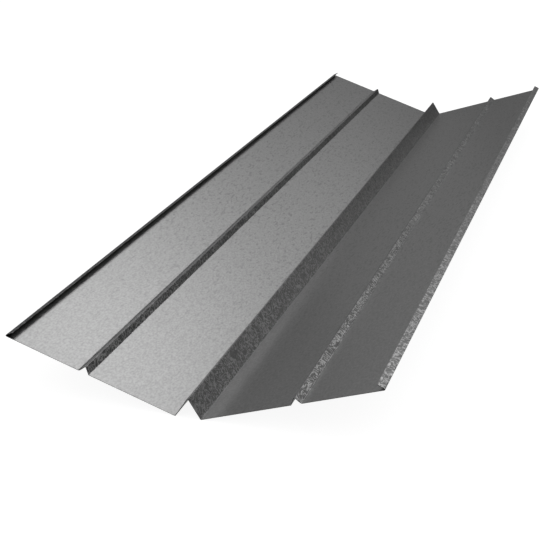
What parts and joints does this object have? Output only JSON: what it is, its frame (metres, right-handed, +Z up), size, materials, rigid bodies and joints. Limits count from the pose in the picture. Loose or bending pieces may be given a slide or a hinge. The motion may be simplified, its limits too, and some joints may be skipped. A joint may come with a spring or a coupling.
{
  "type": "valley flashing",
  "caption": "W-section valley flashing: one folded strip of galvanised sheet with a raised centre crown, a water rib on each wing and returned edges.",
  "frame": {"origin": "under the crown, halfway along the strip, on the level that the two feet of the crown rest on", "axes": "+X across the valley to the right wing, +Y along the strip, +Z up out of the open side"},
  "size_m": [0.6114, 2, 0.1025],
  "materials": {
    "galvanised_steel": "satin zinc coat with fine spangle"
  },
  "bodies": {
    "root": {"valley_flashing": "galvanised_steel"}
  },
  "joints": []
}
